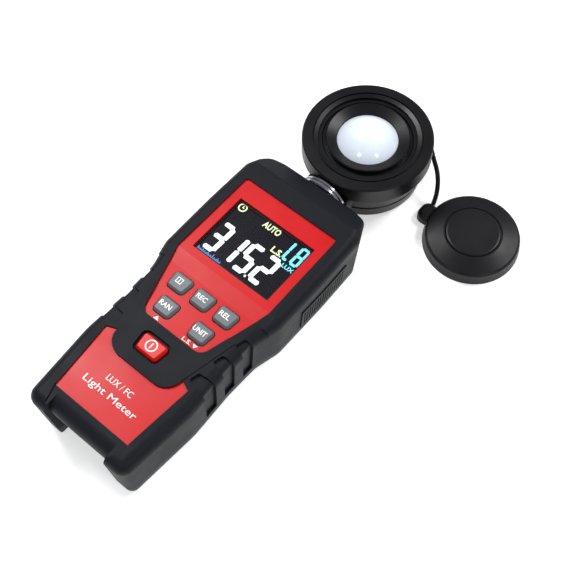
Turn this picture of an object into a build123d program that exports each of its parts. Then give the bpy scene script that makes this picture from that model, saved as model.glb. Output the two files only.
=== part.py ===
from build123d import *
import os
from math import cos, pi, radians, sin, tan

os.makedirs("parts", exist_ok=True)

# A handheld light meter lying on its back, sensor head at the +Y end, tethered cap beside the head.
# Millimetres. X is across the meter, Y along it, Z up. The origin is on the table, halfway along
# the meter (body and head together) and on its centre line.

# ---------------------------------------------------------------- driving dimensions
# Plan of the body. Distances along the body are taken from its foot end.
body_length = 143.5
foot_half_width = 24.9
grip_half_width = 27.4
grip_at = 34.0
waist_half_width = 26.5
waist_at = 55.0
flare_half_width = 27.0
flare_at = 70.0
shoulder_half_width = 30.0
shoulder_at = 81.0
display_end_half_width = 30.3
display_widest_at = 108.0
top_corner_half_width = 29.8
top_corner_setback = 13.5
nose_corner_half_width = 24.8
nose_corner_drop = 3.3
nose_flat_half_width = 12.5

# Side view of the body.
keypad_level = 29.6
display_level = 30.5
widest_level = 26.0
side_draft = 4.0
shell_draft = 2.0
front_edge_round = 4.5
back_edge_round = 2.0
facet_foot = 75.5
facet_top = 82.0
nose_crease_setback = 11.8
nose_lip_setback = 2.2
nose_lip_level = 24.8
parting_level = 4.5

# Walls.
overmold_wall = 2.4
shell_wall = 1.8
rear_floor = 2.6
plate_recess = 0.7
fit_gap = 0.3
screw_fit = 0.05

# Display and its window.
window_width = 38.5
window_height = 29.0
window_at = 100.1
window_thickness = 0.8
window_ledge = 0.35
window_lip = 0.3
window_sink = 0.4

# Red plates on the front.
upper_plate_top_half = 23.3
upper_plate_shoulder_half = 23.6
upper_plate_top_at = 123.4
upper_plate_shoulder_at = 81.8
upper_plate_foot_half = 14.9
upper_plate_foot_at = 52.3
lower_plate_foot_half = 18.4
lower_plate_foot_at = 10.0
lower_plate_shoulder_half = 21.0
lower_plate_shoulder_at = 39.0
tongue_half_width = 16.6
tongue_tip_at = 40.8
tongue_flat_half = 9.0
tongue_flat_at = 33.1
pad_raise = 0.3
pad_top_half = 22.0
pad_top_at = 64.5

# Keys.
key_head_width = 9.4
key_foot_width = 7.8
key_height = 7.4
key_corner = 1.5
key_proud = 1.6
key_travel = 0.8
key_hole_gap = 0.35
key_lip = 0.9
key_lip_thickness = 0.8
power_head_width = 12.0
power_foot_width = 10.0
power_height = 7.5
power_x = -1.3
power_at = 43.0
power_proud = 1.0
moat_width = 1.2
moat_depth = 1.2

# Grip pockets and side pads.
pocket_depth = 1.2
pocket_length = 4.4
pocket_steps_at = [46.8, 57.6, 68.0]
pocket_inner_half = [18.2, 20.2, 22.2]
pocket_floor_level = 6.0
grip_pad_from = 94.0
grip_pad_to = 122.0
grip_pad_low = 6.0
grip_pad_high = 19.5
grip_pad_proud = 0.5
grip_pad_sink = 0.6
grip_rib_pitch = 1.6

# Foot end recess.
foot_recess_half = 15.2
foot_recess_back = 5.2
foot_recess_front = 2.2
foot_roll = 6.0
foot_strip_sink = 0.6

# Boards and display stack.
board_thickness = 1.6
board_top = 22.4
board_half_width = 19.5
board_from = 16.0
board_setback = 20.5
board_screw_x = 16.5
board_screw_ends = 3.2
lcd_thickness = 1.6
lcd_width = 40.5
lcd_height = 31.0
frame_wall = 1.0

# Battery bay, three AAA cells side by side.
cell_diameter = 10.5
cell_length = 44.5
cell_spacing = 0.5
bay_from = 14.4
bay_end_gap = 1.5
bay_wall = 1.2
bay_wall_rise = 1.3
door_thickness = 1.2
door_tongue = 7.5
door_screw_setback = 4.0

# Tripod insert, 1/4-20.
tripod_at = 84.0
insert_radius = 4.5
insert_length = 7.0
tripod_bore_radius = 2.55

# Housing screws.
housing_screw_foot = (16.5, 9.5)
housing_screw_top_x = 21.0
housing_screw_setback = 17.0
boss_radius = 2.8
screw_shank = 1.3

# Neck and swivel.
neck_level = 13.0
collar_radius = 11.5
collar_seat = 1.1
neck_gap = 0.3
head_gap = 2.7
collar_tube_radius = 5.6
shaft_radius = 4.2
shaft_bore = 2.0
swivel_fit = 0.05
neck_nut_radius = 7.2
neck_nut_height = 2.6
neck_nut_hub = 0.7
stop_disc_radius = 5.2
stop_tab_angle = 30.0
stop_post_angle = 56.0
stop_post_direction = 225.0

# Sensor head.
head_radius = 28.1
head_bottom = 1.5
rim_low = 17.5
rim_top = 26.0
head_wall_low = 24.7
head_wall_high = 26.4
head_wall = 2.0
cone_lip_radius = 17.5
cone_throat_radius = 13.3
cone_drop = 2.0
cap_trough_depth = 2.4
cap_trough_step = 0.7
dome_radius = 13.1
dome_apex = 30.0
dome_wall = 1.4
sensor_board_radius = 15.0
sensor_board_low = 9.9
head_screw_circle = 20.4

# Cap and tether.
cap_x = 57.4
cap_radius = 20.8
cap_height = 8.0
cap_wall = 1.6
cap_groove_radius = 12.0
cap_fit = 0.4
lug_half_width = 4.5
lug_reach = 5.1
lug_height = 4.6
lug_offset = -1.3
lug_round = 3.4
lug_crown = 2.0
tether_diameter = 2.0
anchor_radius = 1.2
anchor_angle = 60.0

# ---------------------------------------------------------------- places worked out from them
top_corner_at = body_length - top_corner_setback
nose_crease_at = body_length - nose_crease_setback
nose_lip_at = body_length - nose_lip_setback
board_to = body_length - board_setback
housing_screw_top = (housing_screw_top_x, body_length - housing_screw_setback)
head_distance = body_length + head_gap + head_radius
overall_length = head_distance + head_radius
foot_y = -overall_length / 2
head_y = foot_y + head_distance
inner_wall = overmold_wall + shell_wall
keypad_ceiling = keypad_level - inner_wall
display_ceiling = display_level - inner_wall
keypad_plate_level = keypad_level - plate_recess
display_plate_level = display_level - plate_recess
board_low = board_top - board_thickness
cell_pitch = cell_diameter + cell_spacing
bay_to = bay_from + cell_length + 2 * bay_end_gap
bay_half_width = cell_pitch + cell_diameter / 2 + 1.1
door_recess = door_thickness + 0.2
cell_level = door_recess + fit_gap + cell_diameter / 2
bay_wall_top = cell_level + cell_diameter / 2 + bay_wall_rise


def along(distance):
    """Y of a place that lies this far from the foot end of the body."""
    return foot_y + distance


# ---------------------------------------------------------------- shared forms
def body_outline(inset):
    """Plan of the body at its widest level, moved inwards all round by inset."""
    half = [
        (foot_half_width, 0),
        (grip_half_width, grip_at),
        (waist_half_width, waist_at),
        (flare_half_width, flare_at),
        (shoulder_half_width, shoulder_at),
        (display_end_half_width, display_widest_at),
        (top_corner_half_width, top_corner_at),
        (nose_corner_half_width, body_length - nose_corner_drop),
        (nose_flat_half_width, body_length),
    ]
    half_rounds = [5, 40, 60, 12, 12, 60, 5, 5, 12]
    right = [(x, along(distance)) for x, distance in half]
    left = [(-x, y) for x, y in reversed(right)]
    with BuildSketch() as plan:
        with BuildLine():
            FilletPolyline(*right, *left, radius=half_rounds + half_rounds[::-1], close=True)
        make_face()
        if inset:
            offset(amount=-inset)
    return plan.sketch


def body_slab(inset, low, high, draft, front_round, back_round):
    """Straight-topped block on the body's plan, its sides drawn in towards the back."""
    plan = body_outline(inset)
    with BuildPart() as slab:
        with BuildSketch(Plane.XY.offset(widest_level)) as base:
            add(plan)
        extrude(amount=high - widest_level)
        extrude(base.sketch, amount=low - widest_level, taper=draft)
        if front_round:
            fillet(slab.faces().sort_by(Axis.Z)[-1].edges(), front_round)
        if back_round:
            fillet(slab.faces().sort_by(Axis.Z)[0].edges(), back_round)
    return slab.part


def side_wedge(points):
    """Block across the whole body with this (distance along, level) side view."""
    with BuildPart() as wedge:
        with BuildSketch(Plane.YZ):
            with BuildLine():
                Polyline(*[(along(distance), level) for distance, level in points], close=True)
            make_face()
        extrude(amount=2 * display_end_half_width, both=True)
    return wedge.part


def body_form(inset, low, draft=0.0, front_round=0.0, back_round=0.0, nose_round=0.0):
    """Whole body form: lower keypad deck, raised display deck and sloping nose."""
    deck_low = keypad_level - inset
    deck_high = display_level - inset
    clear = 2 * display_level
    deck = body_slab(inset, low, deck_low, draft, front_round, back_round)
    raised = body_slab(inset, low, deck_high, draft, front_round, back_round)
    in_front = side_wedge([
        (-10, -10),
        (facet_foot, -10),
        (facet_foot, deck_low),
        (facet_top, deck_high),
        (facet_top, clear),
        (-10, clear),
    ])
    nose = side_wedge([
        (nose_crease_at - 0.3 * inset, deck_high),
        (nose_lip_at - 0.6 * inset, nose_lip_level - inset),
        (nose_lip_at + 5.7 - inset, nose_lip_level - 9.8),
        (body_length + 15, nose_lip_level - 9.8),
        (body_length + 15, clear),
        (nose_crease_at - 0.3 * inset, clear),
    ])
    with BuildPart() as form:
        add(raised)
        add(in_front, mode=Mode.SUBTRACT)
        add(deck)
        add(nose, mode=Mode.SUBTRACT)
        if nose_round:
            slopes = [
                face for face in form.faces().filter_by(GeomType.PLANE)
                if 0.3 < face.normal_at().Z < 0.97 and face.center().Y > along(facet_top)
            ]
            rim = []
            for face in slopes:
                for edge in face.edges():
                    if edge not in rim and edge.center().Y > along(nose_crease_at + 0.8):
                        rim.append(edge)
            fillet(rim, nose_round)
    return form.part


def upper_plate(gap=0.0):
    """Plan of the red plate that carries the display and the grey keys."""
    right = [
        (upper_plate_foot_half, upper_plate_foot_at),
        (upper_plate_shoulder_half, upper_plate_shoulder_at),
        (upper_plate_top_half, upper_plate_top_at),
    ]
    points = [(x, along(distance)) for x, distance in right]
    points += [(-x, y) for x, y in reversed(points)]
    with BuildSketch() as plan:
        with BuildLine():
            FilletPolyline(*points, radius=[4.5, 3, 1.2, 1.2, 3, 4.5], close=True)
        make_face()
        if gap:
            offset(amount=gap)
    return plan.sketch


def tongue_edge(side):
    """Quarter round at one lower corner of the black pad, from its flat edge to its tip."""
    reach = tongue_half_width - tongue_flat_half
    middle_x = tongue_flat_half + reach * sin(pi / 4)
    middle_at = tongue_flat_at + (tongue_tip_at - tongue_flat_at) * (1 - cos(pi / 4))
    return [
        (side * tongue_flat_half, along(tongue_flat_at)),
        (side * middle_x, along(middle_at)),
        (side * tongue_half_width, along(tongue_tip_at)),
    ]


def lower_plate():
    """Plan of the red plate at the foot end, hollowed at the top by the pad's tongue."""
    right = tongue_edge(1)
    left = tongue_edge(-1)
    with BuildSketch() as plan:
        with BuildLine():
            Line(left[0], right[0])
            ThreePointArc(*right)
            Polyline(
                right[2],
                (lower_plate_shoulder_half, along(lower_plate_shoulder_at)),
                (lower_plate_foot_half, along(lower_plate_foot_at)),
                (-lower_plate_foot_half, along(lower_plate_foot_at)),
                (-lower_plate_shoulder_half, along(lower_plate_shoulder_at)),
                left[2],
            )
            ThreePointArc(*left[::-1])
        make_face()
    return plan.sketch


def pad_plan():
    """Plan of the raised black pad round the power key, up to the sides of the upper plate."""
    right = tongue_edge(1)
    left = tongue_edge(-1)
    with BuildSketch() as plan:
        with BuildLine():
            Line(left[0], right[0])
            ThreePointArc(*right)
            Polyline(
                right[2],
                (pad_top_half, along(pad_top_at)),
                (-pad_top_half, along(pad_top_at)),
                left[2],
            )
            ThreePointArc(*left[::-1])
        make_face()
    return plan.sketch


def key_plan(x, distance, head_width, foot_width, height, grow):
    """Rounded key outline, wider towards the head, grown all round by grow."""
    y_head = along(distance) + height / 2
    y_foot = along(distance) - height / 2
    corners = [
        (x - foot_width / 2, y_foot),
        (x + foot_width / 2, y_foot),
        (x + head_width / 2, y_head),
        (x - head_width / 2, y_head),
    ]
    with BuildSketch() as plan:
        with BuildLine():
            FilletPolyline(*corners, radius=key_corner, close=True)
        make_face()
        if grow:
            offset(amount=grow)
    return plan.sketch


def prism(plan, low, high):
    """Upright block on a plan."""
    with BuildPart() as block:
        with BuildSketch(Plane.XY.offset(low)):
            add(plan)
        extrude(amount=high - low)
    return block.part


def turned(points, x, y):
    """Solid turned about the upright axis at (x, y) from a (radius, level) profile."""
    with BuildPart() as solid:
        with BuildSketch(Plane(origin=(x, y, 0), x_dir=(1, 0, 0), z_dir=(0, -1, 0))):
            with BuildLine():
                Polyline(*points, close=True)
            make_face()
        revolve(axis=Axis((x, y, 0), (0, 0, 1)))
    return solid.part


def neck_disc(outer, inner, start, end):
    """Round piece on the neck axis, between two distances along the meter."""
    with BuildPart() as disc:
        with BuildSketch(Plane(origin=(0, along(start), neck_level), x_dir=(1, 0, 0), z_dir=(0, 1, 0))):
            Circle(outer)
            if inner:
                Circle(inner, mode=Mode.SUBTRACT)
        extrude(amount=end - start)
    return disc.part


def upright_pegs(places, radius, low, high):
    """Round pegs standing at (x, y) places."""
    with BuildPart() as pegs:
        with BuildSketch(Plane.XY.offset(low)):
            with Locations(*places):
                Circle(radius)
        extrude(amount=high - low)
    return pegs.part


def block(x_low, x_high, from_foot, to_foot, low, high):
    """Plain block between two x values, two distances from the foot and two levels."""
    with BuildPart() as box:
        with BuildSketch(Plane.XY.offset(low)):
            with Locations(((x_low + x_high) / 2, along((from_foot + to_foot) / 2))):
                Rectangle(x_high - x_low, to_foot - from_foot)
        extrude(amount=high - low)
    return box.part


def screws(places, head_low, head_high, pan_radius, shank_to):
    """Pan-head screws driven upwards, one at each place, as separate solids."""
    with BuildPart() as group:
        with BuildSketch(Plane.XY.offset(head_low)):
            with Locations(*places):
                Circle(pan_radius)
        extrude(amount=head_high - head_low)
        with BuildSketch(Plane.XY.offset(head_high)):
            with Locations(*places):
                Circle(screw_shank)
        extrude(amount=shank_to - head_high)
        with BuildSketch(Plane.XY.offset(head_low)):
            with Locations(*places):
                Rectangle(0.5 * pan_radius, 0.5 * pan_radius)
        extrude(amount=0.5 * (head_high - head_low), mode=Mode.SUBTRACT)
    return group.part


def save(part, name):
    """Label a finished piece and write its file."""
    part.label = name
    export_step(part, f"parts/{name}.step")


# ---------------------------------------------------------------- housing
foot_strip_level = keypad_level - foot_strip_sink
roll_low = (along(foot_recess_front), foot_strip_level - foot_roll)
roll_high = (along(foot_recess_front + foot_roll), foot_strip_level)
roll_middle = (
    along(foot_recess_front + foot_roll * (1 - cos(pi / 4))),
    foot_strip_level - foot_roll * (1 - sin(pi / 4)),
)
hollow_rest = [
    (roll_high[0], display_level + 1),
    (along(-3), display_level + 1),
    (along(-3), -3),
    (along(foot_recess_back), -3),
    (along(foot_recess_back), 0),
]


def foot_hollow(grow=0.0):
    """Recess between the two corner blocks at the foot, grown by a wall for the layers inside."""
    with BuildPart() as hollow:
        with BuildSketch(Plane.YZ):
            with BuildLine():
                Polyline(roll_high, *hollow_rest, roll_low)
                ThreePointArc(roll_low, roll_middle, roll_high)
            make_face()
            if grow:
                offset(amount=grow)
        extrude(amount=foot_recess_half + grow, both=True)
    return hollow.part


def hollowed(form, grow):
    """A body form with the foot recess taken out of it."""
    with BuildPart() as cut:
        add(form)
        add(foot_hollow(grow), mode=Mode.SUBTRACT)
    return cut.part


outer_form = body_form(0.0, 0.0, side_draft, front_edge_round, back_edge_round, 1.5)
shell_form = hollowed(body_form(overmold_wall, parting_level, shell_draft), overmold_wall)
plate_form = body_form(plate_recess, parting_level, side_draft)
cavity_form = hollowed(body_form(inner_wall, -1.0), inner_wall)
red_plates = prism(upper_plate(), board_top, display_level) + prism(lower_plate(), board_top, display_level)
above_parting = side_wedge([(-5, parting_level), (body_length + 5, parting_level),
                            (body_length + 5, 50), (-5, 50)])

grey_keys = {
    "key_hold": (-11.7, 70.1),
    "key_record": (0.0, 70.1),
    "key_relative": (11.7, 70.1),
    "key_range": (-8.8, 59.1),
    "key_unit": (8.8, 59.1),
}
grey_size = (key_head_width, key_foot_width, key_height)
power_size = (power_head_width, power_foot_width, power_height)
power_place = (power_x, power_at)
power_plan = (*power_place, *power_size)
board_screw_places = [
    (side * board_screw_x, along(distance))
    for side in (-1, 1)
    for distance in (board_from + board_screw_ends, board_to - board_screw_ends)
]
housing_screw_places = [
    (side * x, along(distance))
    for side in (-1, 1)
    for x, distance in (housing_screw_foot, housing_screw_top)
]
collar_seat_at = body_length - collar_seat

# Front housing: red ABS shell with the two plates raised through the overmold.
display_opening = block(
    -window_width / 2 + window_ledge, window_width / 2 - window_ledge,
    window_at - window_height / 2 + window_ledge, window_at + window_height / 2 - window_ledge,
    board_top, display_level + 1,
)
window_low = display_plate_level - window_sink - window_thickness
window_pocket = block(
    -window_width / 2, window_width / 2,
    window_at - window_height / 2, window_at + window_height / 2,
    window_low, display_level + 1,
)
lcd_pocket_top = window_low - window_lip
lcd_pocket_reach = lcd_width / 2 + frame_wall + fit_gap
lcd_pocket = block(
    -lcd_pocket_reach, lcd_pocket_reach,
    window_at - lcd_height / 2 - frame_wall - fit_gap, window_at + lcd_height / 2 + frame_wall + fit_gap,
    board_top, lcd_pocket_top,
)
key_holes = [
    prism(key_plan(*place, *grey_size, key_hole_gap), board_top, display_level + 1)
    for place in grey_keys.values()
]
power_hole = prism(key_plan(*power_plan, key_hole_gap), board_top, display_level + 1)
boss_top = display_ceiling + 0.4
board_bosses = upright_pegs(board_screw_places, 2.2, board_top, boss_top)
board_pilots = upright_pegs(board_screw_places, 1.0, board_top, board_top + 2.6)
front_boss_low = parting_level + 3.3
housing_bosses = upright_pegs(housing_screw_places, boss_radius, front_boss_low, boss_top)
housing_pilots = upright_pegs(housing_screw_places, screw_shank + screw_fit, 0, 17)
collar_hole = neck_disc(collar_tube_radius, 0, collar_seat_at - 10, body_length + 1)
with BuildPart() as front_housing:
    add(plate_form)
    add(red_plates, mode=Mode.INTERSECT)
    add(shell_form)
    add(cavity_form, mode=Mode.SUBTRACT)
    add(board_bosses)
    add(housing_bosses)
    add([display_opening, window_pocket, lcd_pocket, power_hole, *key_holes], mode=Mode.SUBTRACT)
    add([board_pilots, housing_pilots, collar_hole], mode=Mode.SUBTRACT)
save(front_housing.part, "front_housing")

# Black rubber overmold: rim, side walls, pad round the power key.
pocket_floor = body_slab(pocket_depth, 0.0, keypad_level - pocket_depth, side_draft, 1.8, 0)
pocket_skin = outer_form - pocket_floor


def pocket_plan(step_at, inner_half, side):
    """Plan of one grip pocket: steep at its head end, easing out at its foot end."""
    outside = display_end_half_width + 5
    points = [
        (side * inner_half, along(step_at - pocket_length)),
        (side * (inner_half + 1.2), along(step_at)),
        (side * outside, along(step_at + 1.5)),
        (side * outside, along(step_at - pocket_length - 2.5)),
    ]
    with BuildSketch() as plan:
        with BuildLine():
            FilletPolyline(*points, radius=[0.8, 0.8, 0.1, 0.1], close=True)
        make_face()
    return plan.sketch


def plan_of(points):
    """Straight-sided plan from (x, distance along) points."""
    with BuildSketch() as plan:
        with BuildLine():
            Polyline(*[(x, along(distance)) for x, distance in points], close=True)
        make_face()
    return plan.sketch


def grip_pad_zone(side):
    """Box on one side wall that bounds the ribbed pad."""
    near = side * (display_end_half_width - 6)
    far = side * (display_end_half_width + 4)
    return block(min(near, far), max(near, far), grip_pad_from, grip_pad_to, grip_pad_low, grip_pad_high)


grip_pockets = [
    prism(pocket_plan(step_at, inner_half, side), pocket_floor_level, display_level + 1) & pocket_skin
    for step_at, inner_half in zip(pocket_steps_at, pocket_inner_half)
    for side in (-1, 1)
]
foot_recess = foot_hollow()
foot_strip = prism(
    plan_of([
        (foot_recess_half, -1),
        (lower_plate_foot_half + 0.4, lower_plate_foot_at + 0.4),
        (-lower_plate_foot_half - 0.4, lower_plate_foot_at + 0.4),
        (-foot_recess_half, -1),
    ]),
    foot_strip_level, display_level,
)
pad_block = prism(pad_plan(), keypad_level - 0.5, keypad_level + pad_raise)
plate_windows = [
    prism(upper_plate(), board_top, display_level + 1),
    prism(lower_plate(), board_top, display_level + 1),
]
moat = prism(key_plan(*power_plan, moat_width), keypad_level + pad_raise - moat_depth, display_level + 1)
grip_seat_form = body_slab(grip_pad_sink, 0.0, display_level, side_draft, 0, 0)
grip_top_form = body_slab(-grip_pad_proud, 0.0, display_level, side_draft, 0, 0)
grip_seats = [grip_pad_zone(side) - grip_seat_form for side in (-1, 1)]
collar_seat_cut = neck_disc(collar_radius + fit_gap, 0, collar_seat_at, body_length + 2)

with BuildPart() as front_overmold:
    add(outer_form)
    add(pad_block)
    add(above_parting, mode=Mode.INTERSECT)
    add(shell_form, mode=Mode.SUBTRACT)
    add(plate_windows, mode=Mode.SUBTRACT)
    add(grip_pockets, mode=Mode.SUBTRACT)
    add([foot_recess, foot_strip, *grip_seats, moat, power_hole], mode=Mode.SUBTRACT)
    add([collar_seat_cut, collar_hole], mode=Mode.SUBTRACT)
save(front_overmold.part, "front_overmold")

# Ribbed rubber pads let into the side walls beside the display.
rib_count = int((grip_pad_to - grip_pad_from - 2) / grip_rib_pitch)
for side, name in ((-1, "side_grip_left"), (1, "side_grip_right")):
    pad = (grip_pad_zone(side) & grip_top_form) - grip_seat_form
    grooves = []
    for rib in range(rib_count):
        middle = grip_pad_from + 1.8 + rib * grip_rib_pitch
        x_low, x_high = sorted((side * 20.0, side * 40.0))
        groove = block(x_low, x_high, middle - 0.3, middle + 0.3, grip_pad_low + 1.5, grip_pad_high - 1.5)
        grooves.append(groove - outer_form)
    with BuildPart() as grip_pad:
        add(pad)
        add(grooves, mode=Mode.SUBTRACT)
    save(grip_pad.part, name)

# Rear housing: shallow tray with the battery bay, screw bosses and tripod boss.
bay_outer = block(-bay_half_width - bay_wall, bay_half_width + bay_wall, bay_from - bay_wall,
                  bay_to + bay_wall, rear_floor, bay_wall_top)
bay_inner = block(-bay_half_width, bay_half_width, bay_from, bay_to, -1, bay_wall_top + 1)
door_edge = 1.0
door_bed = block(-bay_half_width - door_edge, bay_half_width + door_edge, bay_from - door_edge,
                 bay_to + door_tongue, -1, door_recess)
door_screw_place = (0.0, along(bay_to + door_screw_setback))
rear_boss_top = front_boss_low - 0.1
door_boss_top = 9.0
insert_low = 0.2
rear_tray_form = hollowed(body_form(inner_wall, rear_floor), inner_wall)
with BuildPart() as foot_relief:
    add(foot_hollow(inner_wall + fit_gap))
    add(above_parting, mode=Mode.INTERSECT)
with BuildPart() as rear_housing:
    add(outer_form)
    add(above_parting, mode=Mode.SUBTRACT)
    add(rear_tray_form, mode=Mode.SUBTRACT)
    add(bay_outer)
    add(upright_pegs(housing_screw_places, 3.4, rear_floor - 0.5, rear_boss_top))
    add(upright_pegs([door_screw_place], 3.2, rear_floor - 0.5, door_boss_top))
    add(upright_pegs([(0, along(tripod_at))], insert_radius + 2.2, rear_floor - 0.5, insert_length + 1.4))
    add([bay_inner, door_bed, foot_recess, foot_relief.part, collar_seat_cut], mode=Mode.SUBTRACT)
    add(upright_pegs(housing_screw_places, 2.8, -1, 2.4), mode=Mode.SUBTRACT)
    add(upright_pegs(housing_screw_places, screw_shank + 0.2, -1, rear_boss_top + 1), mode=Mode.SUBTRACT)
    add(upright_pegs([door_screw_place], screw_shank + screw_fit, 0, door_boss_top - 1), mode=Mode.SUBTRACT)
    add(upright_pegs([(0, along(tripod_at))], insert_radius, -1, insert_low + insert_length),
        mode=Mode.SUBTRACT)
save(rear_housing.part, "rear_housing")

# Long screws that pull the two halves together.
housing_screws = screws(housing_screw_places, 0.6, 2.4, 2.6, 16.0)
save(housing_screws, "housing_screws")

# Brass tripod insert.
with BuildPart() as tripod_insert:
    add(upright_pegs([(0, along(tripod_at))], insert_radius, insert_low, insert_low + insert_length))
    add(upright_pegs([(0, along(tripod_at))], tripod_bore_radius, -1, insert_low + insert_length - 1.0),
        mode=Mode.SUBTRACT)
save(tripod_insert.part, "tripod_insert")

# ---------------------------------------------------------------- display
with BuildPart() as display_window:
    add(block(
        -window_width / 2, window_width / 2, window_at - window_height / 2, window_at + window_height / 2,
        window_low, window_low + window_thickness,
    ))
    chamfer(display_window.faces().sort_by(Axis.Z)[-1].edges(), 0.25)
save(display_window.part, "display_window")

panel_top = lcd_pocket_top - 0.1
panel_low = panel_top - lcd_thickness
lcd_from = window_at - lcd_height / 2
lcd_to = window_at + lcd_height / 2
save(block(-lcd_width / 2, lcd_width / 2, lcd_from, lcd_to, panel_low, panel_top), "lcd_panel")
strip_width = 2.0
backlight_low = board_top + 0.2
save(
    block(-lcd_width / 2, lcd_width / 2, lcd_from + strip_width + fit_gap, lcd_to, backlight_low,
          panel_low - 0.1),
    "lcd_backlight",
)
save(
    block(-lcd_width / 2 + 1, lcd_width / 2 - 1, lcd_from, lcd_from + strip_width, board_top, panel_low),
    "lcd_contact_strip",
)
with BuildPart() as lcd_frame:
    add(block(-lcd_width / 2 - frame_wall - 0.1, lcd_width / 2 + frame_wall + 0.1,
              lcd_from - frame_wall - 0.1, lcd_to + frame_wall + 0.1, board_top, panel_top))
    add(block(-lcd_width / 2 - 0.1, lcd_width / 2 + 0.1, lcd_from - 0.1, lcd_to + 0.1, 0, 40),
        mode=Mode.SUBTRACT)
save(lcd_frame.part, "lcd_frame")

# ---------------------------------------------------------------- boards
with BuildPart() as main_board:
    add(block(-board_half_width, board_half_width, board_from, board_to, board_low, board_top))
    add(upright_pegs(board_screw_places, 1.2, 0, 40), mode=Mode.SUBTRACT)
save(main_board.part, "main_board")
with BuildPart() as board_screw_group:
    add(upright_pegs(board_screw_places, 1.9, board_low - 1.4, board_low))
    add(upright_pegs(board_screw_places, 0.95, board_low, board_top + 2.4))
    add(upright_pegs(board_screw_places, 0.6, board_low - 1.4, board_low - 0.8), mode=Mode.SUBTRACT)
save(board_screw_group.part, "board_screws")
with BuildPart() as board_chips:
    add(block(-5, 5, 90, 100, board_low - 1.5, board_low))
    add(block(-13, -7, 74, 79, board_low - 1.3, board_low))
    add(block(7, 10, 72, 80, board_low - 1.0, board_low))
save(board_chips.part, "board_chips")

key_lip_top = keypad_ceiling - fit_gap
key_lip_low = key_lip_top - key_lip_thickness
switch_height = key_lip_low - key_travel - fit_gap - board_top
switch_places = [(x, along(distance)) for x, distance in grey_keys.values()]
switch_places.append((power_x, along(power_at)))
with BuildPart() as key_switches:
    with BuildSketch(Plane.XY.offset(board_top)):
        with Locations(*switch_places):
            RectangleRounded(6.0, 6.0, 0.6)
    extrude(amount=0.6 * switch_height)
    add(upright_pegs(switch_places, 2.0, board_top, board_top + switch_height))
save(key_switches.part, "key_switches")


# ---------------------------------------------------------------- keys
def key(place, size, top):
    """One key: lip under the housing, straight stem, crown with sloping sides."""
    shoulder = top - key_proud * 0.7
    stem = key_plan(*place, *size, 0)
    with BuildPart() as body:
        add(prism(key_plan(*place, *size, key_lip), key_lip_low, key_lip_top))
        add(prism(stem, key_lip_top - 0.1, shoulder))
        with BuildSketch(Plane.XY.offset(shoulder)):
            add(stem)
        extrude(amount=top - shoulder, taper=32)
        fillet(body.faces().sort_by(Axis.Z)[-1].edges(), 0.35)
    return body.part


for name, place in grey_keys.items():
    save(key(place, grey_size, keypad_plate_level + key_proud), name)
save(key(power_place, power_size, keypad_level + pad_raise + power_proud), "key_power")

# ---------------------------------------------------------------- batteries
cell_xs = [-cell_pitch, 0.0, cell_pitch]
cell_from = bay_from + bay_end_gap
cell_to = cell_from + cell_length
nub_length = 0.8
nub_radius = 1.9
for number, x in enumerate(cell_xs, start=1):
    # Neighbouring cells lie head to tail.
    nub_up = number % 2 == 1
    case_from = cell_from if nub_up else cell_from + nub_length
    centre = Plane(origin=(x, along(case_from), cell_level), x_dir=(1, 0, 0), z_dir=(0, 1, 0))
    nub_start = cell_to - nub_length if nub_up else cell_from
    nub_plane = Plane(origin=(x, along(nub_start), cell_level), x_dir=(1, 0, 0), z_dir=(0, 1, 0))
    with BuildPart() as cell:
        with BuildSketch(centre):
            Circle(cell_diameter / 2)
        extrude(amount=cell_length - nub_length)
        fillet(cell.edges(), 0.4)
        with BuildSketch(nub_plane):
            Circle(nub_radius)
        extrude(amount=nub_length)
    save(cell.part, f"battery_{number}")

contact_thickness = 0.4
contact_half = 4.0
contact_low = door_recess + 1.5
contact_top = bay_wall_top - 0.5
with BuildPart() as battery_contacts:
    for number, x in enumerate(cell_xs, start=1):
        end = bay_to - contact_thickness if number % 2 == 1 else bay_from
        with BuildSketch(Plane.XY.offset(contact_low)):
            with Locations((x, along(end + contact_thickness / 2))):
                Rectangle(2 * contact_half, contact_thickness)
        extrude(amount=contact_top - contact_low)
save(battery_contacts.part, "battery_contacts")

with BuildPart() as battery_springs:
    for number, x in enumerate(cell_xs, start=1):
        head_end = number % 2 == 0
        wall = bay_to if head_end else bay_from
        inward = -1 if head_end else 1
        for coil in range(4):
            coil_at = wall + inward * (0.25 + 0.32 * coil)
            coil_radius = 3.4 - 0.35 * coil
            coil_plane = Plane(origin=(x, along(coil_at - 0.17), cell_level), x_dir=(1, 0, 0),
                               z_dir=(0, 1, 0))
            with BuildSketch(coil_plane):
                Circle(coil_radius)
                Circle(coil_radius - 0.6, mode=Mode.SUBTRACT)
            extrude(amount=0.34)
save(battery_springs.part, "battery_springs")


def lead(points, radii, radius):
    """Round lead along straight runs joined by arcs."""
    with BuildPart() as wire:
        with BuildLine():
            route = FilletPolyline(*points, radius=radii)
        with BuildSketch(Plane(origin=route @ 0, z_dir=route % 0)):
            Circle(radius)
        sweep()
    return wire.part, route.wire().length


lead_radius = 0.6
for x, name in ((-15.5, "battery_lead_positive"), (15.5, "battery_lead_negative")):
    start_at = bay_to - 1.4
    bend_at = bay_to + 6
    lead_points = [
        (x, along(start_at), contact_low + 2),
        (x, along(start_at), bay_wall_top + 2.2),
        (x, along(bend_at), bay_wall_top + 2.2),
        (x, along(bend_at), board_low),
    ]
    wire, wire_length = lead(lead_points, [1.6, 1.6], lead_radius)
    print(name, "length", round(wire_length, 1), "volume ratio",
          round(wire.volume / (pi * lead_radius**2 * wire_length), 3))
    save(wire, name)

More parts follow.
